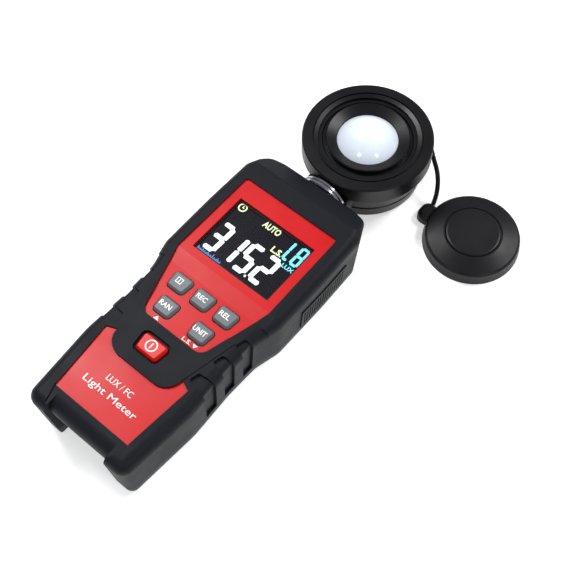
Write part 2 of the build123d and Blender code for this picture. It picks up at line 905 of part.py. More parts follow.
# Battery door, held by one screw at its tongue.
door_low = 0.1
with BuildPart() as battery_door:
    add(block(
        -bay_half_width - door_edge + fit_gap, bay_half_width + door_edge - fit_gap,
        bay_from - door_edge + fit_gap, bay_to + door_tongue - fit_gap,
        door_low, door_low + door_thickness - 0.1,
    ))
    add(upright_pegs([door_screw_place], screw_shank + screw_fit, -1, 5), mode=Mode.SUBTRACT)
    add(upright_pegs([door_screw_place], 2.6, -1, door_low + 0.6), mode=Mode.SUBTRACT)
save(battery_door.part, "battery_door")
save(screws([door_screw_place], door_low, door_low + 0.6, 2.5, door_boss_top - 1.5), "battery_door_screw")

# ---------------------------------------------------------------- neck and swivel
collar_end = body_length + head_gap - neck_gap
collar_inner_at = body_length - inner_wall - neck_nut_hub - neck_nut_height - 0.4
with BuildPart() as neck_collar:
    add(neck_disc(collar_radius, 0, collar_seat_at, collar_end))
    chamfer(neck_collar.edges().filter_by(GeomType.CIRCLE), 0.5)
    add(neck_disc(collar_radius + 1, collar_radius - 0.7, collar_seat_at + 1.5, collar_seat_at + 2.2),
        mode=Mode.SUBTRACT)
    add(neck_disc(collar_tube_radius, 0, collar_inner_at, collar_seat_at + 1))
    add(neck_disc(shaft_radius + swivel_fit, 0, collar_inner_at - 1, collar_end + 1), mode=Mode.SUBTRACT)
save(neck_collar.part, "neck_collar")

nut_seat_at = body_length - inner_wall
nut_to = nut_seat_at - neck_nut_hub
nut_from = nut_to - neck_nut_height


def neck_sector(outer, inner, middle, spread, start, end):
    """Part of a ring on the neck axis, from a direction measured from +Z towards +X."""
    half = radians(spread / 2)
    turn = radians(middle)
    far = 1.5 * outer
    corners = [(0, 0)]
    for angle in (turn - half, turn, turn + half):
        corners.append((-far * sin(angle), far * cos(angle)))
    plane = Plane(origin=(0, along(start), neck_level), x_dir=(-1, 0, 0), z_dir=(0, 1, 0))
    with BuildPart() as sector:
        with BuildSketch(plane):
            Circle(outer)
            Circle(inner, mode=Mode.SUBTRACT)
            with BuildLine():
                Polyline(*corners, close=True)
            make_face(mode=Mode.INTERSECT)
        extrude(amount=end - start)
    return sector.part


washer_to = collar_inner_at - neck_gap
washer_from = washer_to - 0.6
disc_to = washer_from - 0.1
disc_from = disc_to - 1.3
clip_to = disc_from - 0.1
clip_from = clip_to - 0.8
shaft_from = clip_from - 1.2
stop_post = neck_sector(neck_nut_radius, stop_disc_radius + 0.8, stop_post_direction, stop_post_angle,
                        disc_from, nut_from)
with BuildPart() as neck_nut:
    add(neck_disc(neck_nut_radius, collar_tube_radius, nut_from, nut_to))
    add(neck_disc(collar_tube_radius + 0.6, collar_tube_radius, nut_to, nut_seat_at))
    add(stop_post)
save(neck_nut.part, "neck_nut")

shaft_flange = 1.6
shaft_flange_radius = 7.0
shaft_flange_at = head_distance - 21.8
stop_tab = neck_sector(neck_nut_radius - 0.3, shaft_radius, 0.0, stop_tab_angle, disc_from, disc_to)
with BuildPart() as stop_disc:
    add(neck_disc(stop_disc_radius, shaft_radius, disc_from, disc_to))
    add(stop_tab)
save(stop_disc.part, "stop_disc")
save(neck_disc(stop_disc_radius, shaft_radius, washer_from, washer_to), "swivel_washer")
save(neck_disc(stop_disc_radius + 0.3, shaft_radius, clip_from, clip_to), "swivel_clip")
with BuildPart() as swivel_shaft:
    add(neck_disc(shaft_radius, 0, shaft_from, shaft_flange_at + shaft_flange))
    add(neck_disc(shaft_flange_radius, 0, shaft_flange_at, shaft_flange_at + shaft_flange))
    add(block(-10, 10, shaft_flange_at - 0.1, shaft_flange_at + 2, rim_low - 0.5, 30), mode=Mode.SUBTRACT)
    add(neck_disc(shaft_bore, 0, shaft_from - 1, shaft_flange_at + 4), mode=Mode.SUBTRACT)
save(swivel_shaft.part, "swivel_shaft")

# ---------------------------------------------------------------- sensor head
head_screw_angles = [90.0, 205.0, 335.0]
head_screw_places = [
    (head_screw_circle * cos(radians(angle)), head_y + head_screw_circle * sin(radians(angle)))
    for angle in head_screw_angles
]
board_post_places = [
    (12.0 * cos(radians(angle)), head_y + 12.0 * sin(radians(angle))) for angle in (30, 150, 225, 315)
]
head_boss_top = 12.0
head_inner_low = head_wall_low - head_wall
head_inner_high = head_wall_high - head_wall
head_floor = head_bottom + head_wall
head_outside = turned([
    (0, head_bottom),
    (head_wall_low - 1.6, head_bottom),
    (head_wall_low - 0.5, head_bottom + 0.5),
    (head_wall_low, head_bottom + 1.6),
    (head_wall_low + 0.5, 8.0),
    (head_wall_low + 0.1, 8.3),
    (head_wall_low + 0.2, 9.3),
    (head_wall_low + 0.7, 9.6),
    (head_wall_high, rim_low),
    (0, rim_low),
], 0, head_y)
head_inside = turned([
    (0, head_floor),
    (head_inner_low - 0.5, head_floor),
    (head_inner_high, rim_low),
    (head_inner_high, rim_low + 1),
    (0, rim_low + 1),
], 0, head_y)
neck_boss_face = head_distance - head_radius
neck_boss = neck_disc(neck_level - head_bottom - 0.2, 0, neck_boss_face, head_distance - 20)
boss_trim = block(-20, 20, neck_boss_face - 5, head_distance - 15, rim_low, 40)
seat_trim = block(-20, 20, head_distance - 26, head_distance - 15, rim_low - 2.6, 40)
inner_seat = neck_disc(8.0, 0, head_distance - 25.5, shaft_flange_at) - seat_trim
anchor_reach = head_wall_high + anchor_radius + 0.05
anchor_x = anchor_reach * cos(radians(anchor_angle))
anchor_y = head_y + anchor_reach * sin(radians(anchor_angle))
anchor_low = 12.8
with BuildPart() as head_shell:
    add(head_outside)
    add(neck_boss)
    add(boss_trim, mode=Mode.SUBTRACT)
    add(head_inside, mode=Mode.SUBTRACT)
    add(inner_seat)
    add(upright_pegs(head_screw_places, 2.4, head_bottom + 0.5, head_boss_top))
    add(upright_pegs(board_post_places, 1.5, head_bottom + 0.5, sensor_board_low))
    add(upright_pegs(head_screw_places, 2.1, 0, head_bottom + 1.5), mode=Mode.SUBTRACT)
    add(upright_pegs(head_screw_places, 1.1, 0, head_boss_top + 1), mode=Mode.SUBTRACT)
    add(neck_disc(shaft_radius, 0, neck_boss_face - 1, shaft_flange_at + 1), mode=Mode.SUBTRACT)
save(head_shell.part, "head_shell")
save(upright_pegs([(anchor_x, anchor_y)], anchor_radius, anchor_low, rim_low), "tether_anchor")

cap_gap_outer = cap_radius + cap_fit
cone_outer = cone_lip_radius + 0.5
cone_gap = 0.1
trough_middle = (cap_gap_outer + cone_outer) / 2
bezel_floor = rim_low + 1.5
head_bezel_ring = turned([
    (head_radius, rim_low),
    (head_radius, rim_top - 0.5),
    (head_radius - 0.5, rim_top),
    (23.5, rim_top),
    (23.5, rim_top - 0.8),
    (22.9, rim_top - 0.8),
    (22.9, rim_top - 0.1),
    (cap_gap_outer, rim_top - 0.7),
    (cap_gap_outer, rim_top - cap_trough_depth + cap_trough_step),
    (trough_middle, rim_top - cap_trough_depth + cap_trough_step),
    (trough_middle - 0.4, rim_top - cap_trough_depth),
    (cone_outer + cone_gap, rim_top - cap_trough_depth),
    (cone_outer + cone_gap, bezel_floor),
    (15.4, bezel_floor),
    (15.4, rim_low - 0.3),
    (head_inner_high - 2.0, rim_low - 0.3),
    (head_inner_high - 2.0, rim_low - 2.4),
    (head_inner_high - 0.6, rim_low - 2.4),
    (head_inner_high - 0.6, rim_low),
], 0, head_y)
spigot_notch = block(-9, 9, head_distance - head_inner_high - 1, head_distance - 19, 10, rim_low - 0.3)
with BuildPart() as head_bezel:
    add(head_bezel_ring)
    add(spigot_notch, mode=Mode.SUBTRACT)
    add(upright_pegs(head_screw_places, 2.4, head_boss_top, rim_low))
    add(upright_pegs(head_screw_places, 0.95, head_boss_top - 1, rim_low - 1), mode=Mode.SUBTRACT)
save(head_bezel.part, "head_bezel")

with BuildPart() as head_screws:
    add(upright_pegs(head_screw_places, 1.9, head_bottom + 0.2, head_bottom + 1.5))
    add(upright_pegs(head_screw_places, 0.9, head_bottom + 1.5, rim_low - 2))
    add(upright_pegs(head_screw_places, 0.6, head_bottom, head_bottom + 0.8), mode=Mode.SUBTRACT)
save(head_screws.part, "head_screws")

dome_seat = rim_top - 3.2
dome_flange = 14.6
cone = turned([
    (cone_outer, bezel_floor),
    (cone_outer, rim_top - 0.3),
    (cone_outer - 0.3, rim_top),
    (cone_lip_radius, rim_top),
    (cone_throat_radius, rim_top - cone_drop),
    (cone_throat_radius, dome_seat + 0.1),
    (dome_flange + 0.2, dome_seat + 0.1),
    (dome_flange + 0.2, bezel_floor),
], 0, head_y)
save(cone, "light_cone")

dome_foot = rim_top - cone_drop - 0.5
dome_rise = dome_apex - dome_foot
dome_ball = (dome_radius**2 + dome_rise**2) / (2 * dome_rise)
dome_centre = dome_apex - dome_ball
inner_ball = dome_ball - dome_wall
dome_inner_foot = 11.4
dome_low = dome_seat - 1.4
inner_foot_level = dome_centre + (inner_ball**2 - dome_inner_foot**2) ** 0.5


def ball_point(radius, centre_level, lean):
    """Point on a ball about the head axis, leaning from the upright by this many degrees."""
    return (radius * sin(radians(lean)), centre_level + radius * cos(radians(lean)))


with BuildPart() as diffuser_dome:
    with BuildSketch(Plane(origin=(0, head_y, 0), x_dir=(1, 0, 0), z_dir=(0, -1, 0))):
        with BuildLine():
            ThreePointArc((0, dome_apex), ball_point(dome_ball, dome_centre, 22), (dome_radius, dome_foot))
            Polyline(
                (dome_radius, dome_foot),
                (dome_radius, dome_seat),
                (dome_flange, dome_seat),
                (dome_flange, dome_low),
                (dome_inner_foot, dome_low),
                (dome_inner_foot, inner_foot_level),
            )
            ThreePointArc(
                (dome_inner_foot, inner_foot_level),
                ball_point(inner_ball, dome_centre, 22),
                (0, dome_apex - dome_wall),
            )
            Line((0, dome_apex - dome_wall), (0, dome_apex))
        make_face()
    revolve(axis=Axis((0, head_y, 0), (0, 0, 1)))
save(diffuser_dome.part, "diffuser_dome")

filter_radius = 6.5
filter_low = 18.6
filter_thickness = 1.8
holder = turned([
    (4.0, rim_low - 1.7),
    (17.0, rim_low - 1.7),
    (17.0, rim_low - 0.4),
    (15.2, rim_low - 0.4),
    (15.2, bezel_floor - 0.1),
    (dome_flange, bezel_floor - 0.1),
    (dome_flange, dome_low - 0.1),
    (10.8, dome_low - 0.1),
    (filter_radius + 0.1, filter_low + filter_thickness),
    (filter_radius + 0.1, filter_low),
    (4.0, filter_low),
], 0, head_y)
save(holder, "filter_holder")
save(upright_pegs([(0, head_y)], filter_radius, filter_low, filter_low + filter_thickness), "color_filter")

sensor_board_top = sensor_board_low + 1.6
save(upright_pegs([(0, head_y)], sensor_board_radius, sensor_board_low, sensor_board_top), "sensor_board")
with BuildPart() as photodiode:
    add(upright_pegs([(0, head_y)], 4.5, sensor_board_top, sensor_board_top + 0.6))
    add(upright_pegs([(0, head_y)], 4.0, sensor_board_top + 0.6, sensor_board_top + 2.8))
save(photodiode.part, "photodiode")

# Sensor lead: straight down the hollow shaft, then on to the main board.
cable_radius = 1.3
cable_handover = shaft_from - 0.3
save(neck_disc(cable_radius, 0, cable_handover, head_distance - 7), "sensor_cable")
connector_to = board_to - 3.8
connector_low = board_low - 3.8
connector_height = (connector_low + board_low) / 2
save(block(-4, 4, connector_to - 4.2, connector_to, connector_low, board_low), "sensor_connector")
tail_points = [
    (0, along(cable_handover - neck_gap), neck_level),
    (0, along(cable_handover - 4.2), neck_level),
    (0, along(connector_to + 4.0), connector_height),
    (0, along(connector_to), connector_height),
]
tail, tail_length = lead(tail_points, [3.0, 3.0], cable_radius)
print("sensor_cable_tail length", round(tail_length, 1), "volume ratio",
      round(tail.volume / (pi * cable_radius**2 * tail_length), 3))
save(tail, "sensor_cable_tail")

# ---------------------------------------------------------------- cap and tether
cap_foot = cap_radius - cap_wall - 0.2
cap_outside = turned([
    (0, 0),
    (cap_radius, 0),
    (cap_radius, 0.6),
    (cap_radius - 0.6, 5.0),
    (cap_radius - 0.9, 5.5),
    (cap_radius - 1.6, 5.9),
    (cap_groove_radius + 0.5, cap_height - 0.4),
    (cap_groove_radius + 0.25, cap_height - 0.8),
    (cap_groove_radius - 0.25, cap_height - 0.8),
    (cap_groove_radius - 0.6, cap_height - 0.2),
    (cap_groove_radius - 1.2, cap_height),
    (0, cap_height),
], cap_x, head_y)
cap_inside = turned([
    (0, -1),
    (cap_foot, -1),
    (cap_foot - 0.6, 4.3),
    (cap_groove_radius, cap_height - cap_wall - 0.8),
    (0, cap_height - cap_wall),
], cap_x, head_y)
lug_y = head_y + lug_offset
with BuildPart() as sensor_cap:
    with BuildSketch():
        with Locations((cap_x - cap_radius - lug_reach / 2 + 1.5, lug_y)):
            RectangleRounded(lug_reach + 3.0, 2 * lug_half_width, lug_round)
    extrude(amount=lug_height)
    fillet(sensor_cap.faces().sort_by(Axis.Z)[-1].edges(), lug_crown)
    add(cap_outside)
    add(cap_inside, mode=Mode.SUBTRACT)
save(sensor_cap.part, "sensor_cap")

tangent = radians(anchor_angle - 90)
tether_start = anchor_radius + fit_gap
tether_points = [
    (anchor_x + tether_start * cos(tangent), anchor_y + tether_start * sin(tangent), 15.0),
    (20.3, head_y + 19.6, 15.1),
    (24.6, head_y + 15.6, 14.8),
    (28.6, head_y + 12.9, 13.0),
    (31.4, head_y + 10.5, 9.8),
    (33.3, head_y + 7.7, 6.6),
    (34.3, head_y + 5.3, 4.4),
    (34.8, lug_y + lug_half_width, 3.0),
]


def corner_radii(points):
    """Arc at each corner: 0.45 of the shorter run over the tangent of half the turn."""
    radii = []
    for before, corner, after in zip(points, points[1:], points[2:]):
        run_in = Vector(*corner) - Vector(*before)
        run_out = Vector(*after) - Vector(*corner)
        turn = run_in.get_angle(run_out)
        radii.append(0.45 * min(run_in.length, run_out.length) / tan(radians(turn / 2)))
    return radii


tether_radii = corner_radii(tether_points)
tether, tether_length = lead(tether_points, tether_radii, tether_diameter / 2)
print("tether radii", [round(radius, 1) for radius in tether_radii])
print("cap_tether length", round(tether_length, 1), "volume ratio",
      round(tether.volume / (pi * (tether_diameter / 2) ** 2 * tether_length), 3))
save(tether, "cap_tether")
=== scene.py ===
from math import pi, radians

import bpy
import numpy as np
from mathutils import Matrix, Vector


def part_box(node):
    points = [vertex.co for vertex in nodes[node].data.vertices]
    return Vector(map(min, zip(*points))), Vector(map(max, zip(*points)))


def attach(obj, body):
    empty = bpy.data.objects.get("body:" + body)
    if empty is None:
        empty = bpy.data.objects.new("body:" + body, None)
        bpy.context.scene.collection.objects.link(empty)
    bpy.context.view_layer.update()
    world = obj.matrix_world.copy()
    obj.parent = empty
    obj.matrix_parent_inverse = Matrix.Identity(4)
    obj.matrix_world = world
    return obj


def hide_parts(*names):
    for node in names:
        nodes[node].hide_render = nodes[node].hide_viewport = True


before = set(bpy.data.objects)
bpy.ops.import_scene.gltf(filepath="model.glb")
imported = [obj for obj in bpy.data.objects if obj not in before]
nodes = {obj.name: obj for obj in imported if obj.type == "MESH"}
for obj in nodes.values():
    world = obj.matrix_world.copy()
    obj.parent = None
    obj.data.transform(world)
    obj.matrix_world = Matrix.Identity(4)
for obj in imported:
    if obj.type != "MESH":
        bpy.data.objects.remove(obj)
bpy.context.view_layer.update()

# ---------------------------------------------------------------- table, daylight and camera
# The meter lies on its back on a plain white table top that glows a little, to keep the shadows pale.
# Two soft boxes stand to the left and behind, two small ones stand near and to the right, and a wide
# pale ceiling fills the shadows. None of it is the object.
table_reach = 3.0
table_drop = 0.0001
table_mesh = bpy.data.meshes.new("table_top")
table_corners = [(-1, -1), (1, -1), (1, 1), (-1, 1)]
table_mesh.from_pydata([(table_reach * x, table_reach * y, -table_drop) for x, y in table_corners],
                       [], [(0, 1, 2, 3)])
table_top = bpy.data.objects.new("table_top", table_mesh)
bpy.context.scene.collection.objects.link(table_top)
table_paint = bpy.data.materials.new("white_table_paint")
table_paint.use_nodes = True
table_shader = table_paint.node_tree.nodes["Principled BSDF"]
table_shader.inputs["Base Color"].default_value = (0.88, 0.88, 0.88, 1.0)
table_shader.inputs["Roughness"].default_value = 0.9
table_shader.inputs["Specular IOR Level"].default_value = 0.1
table_shader.inputs["Emission Color"].default_value = (1.0, 1.0, 1.0, 1.0)
table_glow = 0.45
table_shader.inputs["Emission Strength"].default_value = table_glow
table_mesh.materials.append(table_paint)


def soft_box(name, place, aim, width, watts):
    """Square area light of one width at a place, turned so that it faces the aim point."""
    lamp = bpy.data.lights.new(name, "AREA")
    lamp.shape = "SQUARE"
    lamp.size = width
    lamp.energy = watts
    holder = bpy.data.objects.new(name, lamp)
    holder.location = place
    holder.rotation_euler = (Vector(aim) - Vector(place)).to_track_quat("-Z", "Y").to_euler()
    bpy.context.scene.collection.objects.link(holder)
    return holder


table_middle = (0.0, 0.0, 0.0)
large_box, small_box = 0.30, 0.14
soft_box("soft_box_left", (-0.60, 0.125, 0.93), table_middle, large_box, 7.5)
soft_box("soft_box_right", (0.36, 0.72, 0.82), table_middle, large_box, 6.5)
soft_box("soft_box_near", (0.05, -0.71, 0.78), table_middle, small_box, 1.6)
soft_box("soft_box_side", (0.80, -0.11, 0.745), table_middle, small_box, 1.6)

world = bpy.data.worlds.new("pale_ceiling")
bpy.context.scene.world = world
world.use_nodes = True
world.node_tree.nodes["Background"].inputs["Color"].default_value = (0.95, 0.97, 1.0, 1.0)
world.node_tree.nodes["Background"].inputs["Strength"].default_value = 0.34

lens = bpy.data.cameras.new("table_camera")
lens.sensor_width = 36.0
lens.lens = 62.34
camera = bpy.data.objects.new("table_camera", lens)
camera_place = Vector((0.13990, -0.14531, 0.36734))
camera_ahead = Vector((-0.30757, 0.36234, -0.87984)).normalized()
camera_right = Vector((0.76910, 0.63911, -0.00565)).normalized()
camera_up = camera_right.cross(camera_ahead)
camera_turn = Matrix((camera_right, camera_up, -camera_ahead)).transposed()
camera.matrix_world = Matrix.Translation(camera_place) @ camera_turn.to_4x4()
bpy.context.scene.collection.objects.link(camera)
bpy.context.scene.camera = camera
bpy.context.scene.view_settings.view_transform = "Standard"

# ---------------------------------------------------------------- front overmould
# The grip of the meter: a charcoal soft-touch rubber skin moulded over the red shell, with a fine
# spark-eroded grain. The two ribbed pads let into its sides are cut from the same rubber.


def tint(red, green, blue):
    """Linear light for a colour given as eight-bit display values."""
    shares = np.array([red, green, blue]) / 255.0
    linear = np.where(shares <= 0.04045, shares / 12.92, ((shares + 0.055) / 1.055) ** 2.4)
    return (*linear.tolist(), 1.0)


def moulded(name, colour, roughness, grain, depth, mottle=0.12, specular=0.5, wear=0.1):
    """Moulded surface: fine grain as a bump, cloudy shade and gloss, faint scattered rubs.

    grain is the width of one grain and depth its height, in metres. mottle is the share by which
    the shade drifts, and wear is how much lighter the rubbed places are."""
    material = bpy.data.materials.new(name)
    material.use_nodes = True
    tree = material.node_tree
    shader = tree.nodes["Principled BSDF"]
    cloud_scale, rub_scale = 70.0, 420.0
    rub_starts, rub_full = 0.60, 0.78
    rub_lightening = 0.25
    gloss_drift = 0.05
    place = tree.nodes.new("ShaderNodeTexCoord")
    fine = tree.nodes.new("ShaderNodeTexNoise")
    fine.inputs["Scale"].default_value = 1.0 / grain
    fine.inputs["Detail"].default_value = 3.0
    cloud = tree.nodes.new("ShaderNodeTexNoise")
    cloud.inputs["Scale"].default_value = cloud_scale
    cloud.inputs["Detail"].default_value = 4.0
    rub = tree.nodes.new("ShaderNodeTexNoise")
    rub.inputs["Scale"].default_value = rub_scale
    rub.inputs["Detail"].default_value = 6.0
    for pattern in (fine, cloud, rub):
        tree.links.new(place.outputs["Object"], pattern.inputs["Vector"])
    shade = tree.nodes.new("ShaderNodeMix")
    shade.data_type = "RGBA"
    shade.inputs["A"].default_value = (*[max(0.0, c * (1 - mottle)) for c in colour[:3]], 1.0)
    shade.inputs["B"].default_value = (*[min(1.0, c * (1 + mottle)) for c in colour[:3]], 1.0)
    tree.links.new(cloud.outputs["Fac"], shade.inputs["Factor"])
    rubbed = tree.nodes.new("ShaderNodeMapRange")
    rubbed.inputs["From Min"].default_value = rub_starts
    rubbed.inputs["From Max"].default_value = rub_full
    rubbed.inputs["To Min"].default_value = 0.0
    rubbed.inputs["To Max"].default_value = wear
    tree.links.new(rub.outputs["Fac"], rubbed.inputs["Value"])
    worn = tree.nodes.new("ShaderNodeMix")
    worn.data_type = "RGBA"
    worn.inputs["B"].default_value = (*[min(1.0, c + rub_lightening * (1 - c)) for c in colour[:3]], 1.0)
    tree.links.new(rubbed.outputs["Result"], worn.inputs["Factor"])
    tree.links.new(shade.outputs["Result"], worn.inputs["A"])
    tree.links.new(worn.outputs["Result"], shader.inputs["Base Color"])
    gloss = tree.nodes.new("ShaderNodeMapRange")
    gloss.inputs["From Min"].default_value = 0.3
    gloss.inputs["From Max"].default_value = 0.7
    gloss.inputs["To Min"].default_value = roughness - gloss_drift
    gloss.inputs["To Max"].default_value = roughness + gloss_drift
    tree.links.new(cloud.outputs["Fac"], gloss.inputs["Value"])
    tree.links.new(gloss.outputs["Result"], shader.inputs["Roughness"])
    bump = tree.nodes.new("ShaderNodeBump")
    bump.inputs["Strength"].default_value = 0.6
    bump.inputs["Distance"].default_value = depth
    tree.links.new(fine.outputs["Fac"], bump.inputs["Height"])
    tree.links.new(bump.outputs["Normal"], shader.inputs["Normal"])
    shader.inputs["Specular IOR Level"].default_value = specular
    return material


def coat_nodes(material, *names):
    """Gives carried-over nodes a material through their objects' own slots."""
    for name in names:
        for place in nodes[name].material_slots:
            place.link = "OBJECT"
            place.material = material


soft_touch = moulded("charcoal_soft_touch_rubber", tint(17, 20, 26), 0.52, 0.00022, 0.00003,
                     mottle=0.15, specular=0.14, wear=0.01)
coat_nodes(soft_touch, "front_overmold", "side_grip_left", "side_grip_right")

# ---------------------------------------------------------------- red front shell
# The shell under the rubber, moulded in red ABS. Its two plates come up through the skin and are
# lacquered with a fine metallic sparkle.
red_lacquer = moulded("red_sparkle_lacquer", tint(192, 10, 16), 0.36, 0.00028, 0.000012,
                      mottle=0.06, specular=0.25, wear=0.02)
coat_nodes(red_lacquer, "front_housing")

# ---------------------------------------------------------------- display
# A dark liquid crystal panel under a clear acrylic window bonded into the upper plate. What is lit
# is the crystal's own segments, seen against the black mask, with a white back light below.
window_clear = bpy.data.materials.new("clear_window_acrylic")
window_clear.use_nodes = True
window_tree = window_clear.node_tree
window_shader = window_tree.nodes["Principled BSDF"]
window_shader.inputs["Base Color"].default_value = tint(26, 27, 36)
window_shader.inputs["Alpha"].default_value = 0.08
window_shader.inputs["Specular IOR Level"].default_value = 0.35
window_place = window_tree.nodes.new("ShaderNodeTexCoord")
window_smear = window_tree.nodes.new("ShaderNodeTexNoise")
window_smear.inputs["Scale"].default_value = 180.0
window_smear.inputs["Detail"].default_value = 5.0
window_gloss = window_tree.nodes.new("ShaderNodeMapRange")
window_gloss.inputs["To Min"].default_value = 0.03
window_gloss.inputs["To Max"].default_value = 0.12
window_tree.links.new(window_place.outputs["Object"], window_smear.inputs["Vector"])
window_tree.links.new(window_smear.outputs["Fac"], window_gloss.inputs["Value"])
window_tree.links.new(window_gloss.outputs["Result"], window_shader.inputs["Roughness"])
coat_nodes(window_clear, "display_window")

panel_black = moulded("dark_crystal_panel", tint(20, 20, 27), 0.35, 0.0006, 0.0000005,
                      mottle=0.05, specular=0.12, wear=0.0)
coat_nodes(panel_black, "lcd_panel")
backlight_white = moulded("white_backlight_block", tint(225, 228, 232), 0.6, 0.0003, 0.00001)
coat_nodes(backlight_white, "lcd_backlight")
black_moulding = moulded("black_fine_texture_plastic", tint(24, 25, 29), 0.5, 0.0003, 0.00003,
                         specular=0.3, wear=0.03)
coat_nodes(black_moulding, "lcd_frame")
contact_rubber = moulded("striped_contact_rubber", tint(30, 30, 30), 0.8, 0.0004, 0.00002)
coat_nodes(contact_rubber, "lcd_contact_strip")


def lit(name, colour, strength):
    """Lit part of the crystal: its own colour glows, a little unevenly across the panel."""
    material = moulded(name, colour, 0.5, 0.0003, 0.000002, mottle=0.03, wear=0.0)
    tree = material.node_tree
    shader = tree.nodes["Principled BSDF"]
    shade = shader.inputs["Base Color"].links[0].from_socket
    tree.links.new(shade, shader.inputs["Emission Color"])
    shader.inputs["Emission Strength"].default_value = strength
    return material


def plates(name, outlines, low, high):
    """Thin upright plates: each outline in plan, in metres, carried from one level to another.

    The points of the outline are repeated at both levels, the two faces are the outline itself and
    its reverse, and a ring of four-sided faces joins them."""
    points, faces = [], []
    for outline in outlines:
        plan = np.asarray(outline, float)
        area = np.sum(plan[:, 0] * np.roll(plan[:, 1], -1) - np.roll(plan[:, 0], -1) * plan[:, 1])
        if area < 0:
            plan = plan[::-1]
        count, start = len(plan), len(points)
        points += [(x, y, low) for x, y in plan] + [(x, y, high) for x, y in plan]
        ring = np.arange(count)
        faces.append(tuple(start + count + ring))
        faces.append(tuple(start + ring[::-1]))
        following = (ring + 1) % count
        sides = np.stack([ring, following, count + following, count + ring], axis=1) + start
        faces += [tuple(side) for side in sides]
    mesh = bpy.data.meshes.new(name)
    mesh.from_pydata(points, [], faces)
    piece = bpy.data.objects.new(name, mesh)
    bpy.context.scene.collection.objects.link(piece)
    return piece


def segment_outline(start, end, stroke):
    """One lit bar between two points: a strip of this width whose ends are cut to a blunt point."""
    start, end = np.asarray(start, float), np.asarray(end, float)
    along = (end - start) / np.linalg.norm(end - start)
    across = np.array([-along[1], along[0]]) * stroke / 2
    tip_share = 0.25
    tip = along * stroke * tip_share
    return [start, start + tip + across, end - tip + across, end, end - tip - across,
            start + tip - across]


segments_of = {
    "1": "bc", "2": "abged", "3": "abgcd", "5": "afgcd", "8": "abcdefg", "L": "fed",
}


def digit_outlines(symbol, right, top, width, height, stroke, lean=0.03):
    """Seven-bar digit whose outer box has this right edge, top, width and height, leaning a little."""
    inset = stroke / 2
    left_x, right_x = right - width + inset, right - inset
    top_y, low_y = top - inset, top - height + inset
    middle_y = (top_y + low_y) / 2
    corners = {
        "a": ((left_x, top_y), (right_x, top_y)),
        "b": ((right_x, top_y), (right_x, middle_y)),
        "c": ((right_x, middle_y), (right_x, low_y)),
        "d": ((left_x, low_y), (right_x, low_y)),
        "e": ((left_x, middle_y), (left_x, low_y)),
        "f": ((left_x, top_y), (left_x, middle_y)),
        "g": ((left_x, middle_y), (right_x, middle_y)),
    }
    bars = []
    for letter in segments_of[symbol]:
        bar = np.array(segment_outline(*corners[letter], stroke))
        bar[:, 0] += lean * (bar[:, 1] - low_y)
        bars.append(bar)
    return bars


millimetre = 0.001
panel_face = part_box("lcd_panel")[1].z
mark_lift, mark_thickness = 0.00001, 0.00002
mark_low, mark_high = panel_face + mark_lift, panel_face + mark_lift + mark_thickness

digit_top, digit_width, digit_height, digit_stroke = 2.1, 6.9, 14.9, 2.1
reading = []
for symbol, right in (("3", -11.3), ("1", -3.5), ("5", 4.3), ("2", 12.5)):
    reading += digit_outlines(symbol, right, digit_top, digit_width, digit_height, digit_stroke)
decimal_point = [(4.55, -12.7), (5.35, -12.7), (5.35, -11.7), (4.55, -11.7)]
reading.append(np.array(decimal_point))
reading = [np.array(outline) * millimetre for outline in reading]
display_reading = plates("display_reading", reading, mark_low, mark_high)
lit_white = lit("lit_white_segments", tint(236, 250, 255), 0.55)
display_reading.data.materials.append(lit_white)

side_top, side_height, side_stroke = 12.5, 9.8, 1.2
side_digits = digit_outlines("L", 13.5, side_top, 3.2, side_height, side_stroke)
side_digits += digit_outlines("8", 18.2, side_top, 4.1, side_height, side_stroke)
side_digits = [outline * millimetre for outline in side_digits]
display_side_digits = plates("display_side_digits", side_digits, mark_low, mark_high)
lit_cyan = lit("lit_cyan_segments", tint(120, 225, 245), 0.5)
display_side_digits.data.materials.append(lit_cyan)

bar_count, bar_from, bar_pitch, bar_low = 24, -18.2, 0.5, -14.9
bar_numbers = np.arange(bar_count)
bar_width, bar_base, base_length = 0.32, 0.25, 12.0
short_bar, fifth_bar_extra, odd_bar_extra = 1.0, 0.9, 0.35
bar_heights = short_bar + fifth_bar_extra * (bar_numbers % 5 == 0) + odd_bar_extra * (bar_numbers % 2)
bar_left = bar_from + bar_pitch * bar_numbers
bars = [
    np.array([(x, bar_low), (x + bar_width, bar_low), (x + bar_width, bar_low + h),
              (x, bar_low + h)]) * millimetre
    for x, h in zip(bar_left, bar_heights)
]
bars.append(np.array([(bar_from, bar_low - bar_base), (bar_from + base_length, bar_low - bar_base),
                      (bar_from + base_length, bar_low), (bar_from, bar_low)]) * millimetre)
display_bar_scale = plates("display_bar_scale", bars, mark_low, mark_high)
lit_blue = lit("lit_blue_segments", tint(90, 150, 225), 0.4)
display_bar_scale.data.materials.append(lit_blue)


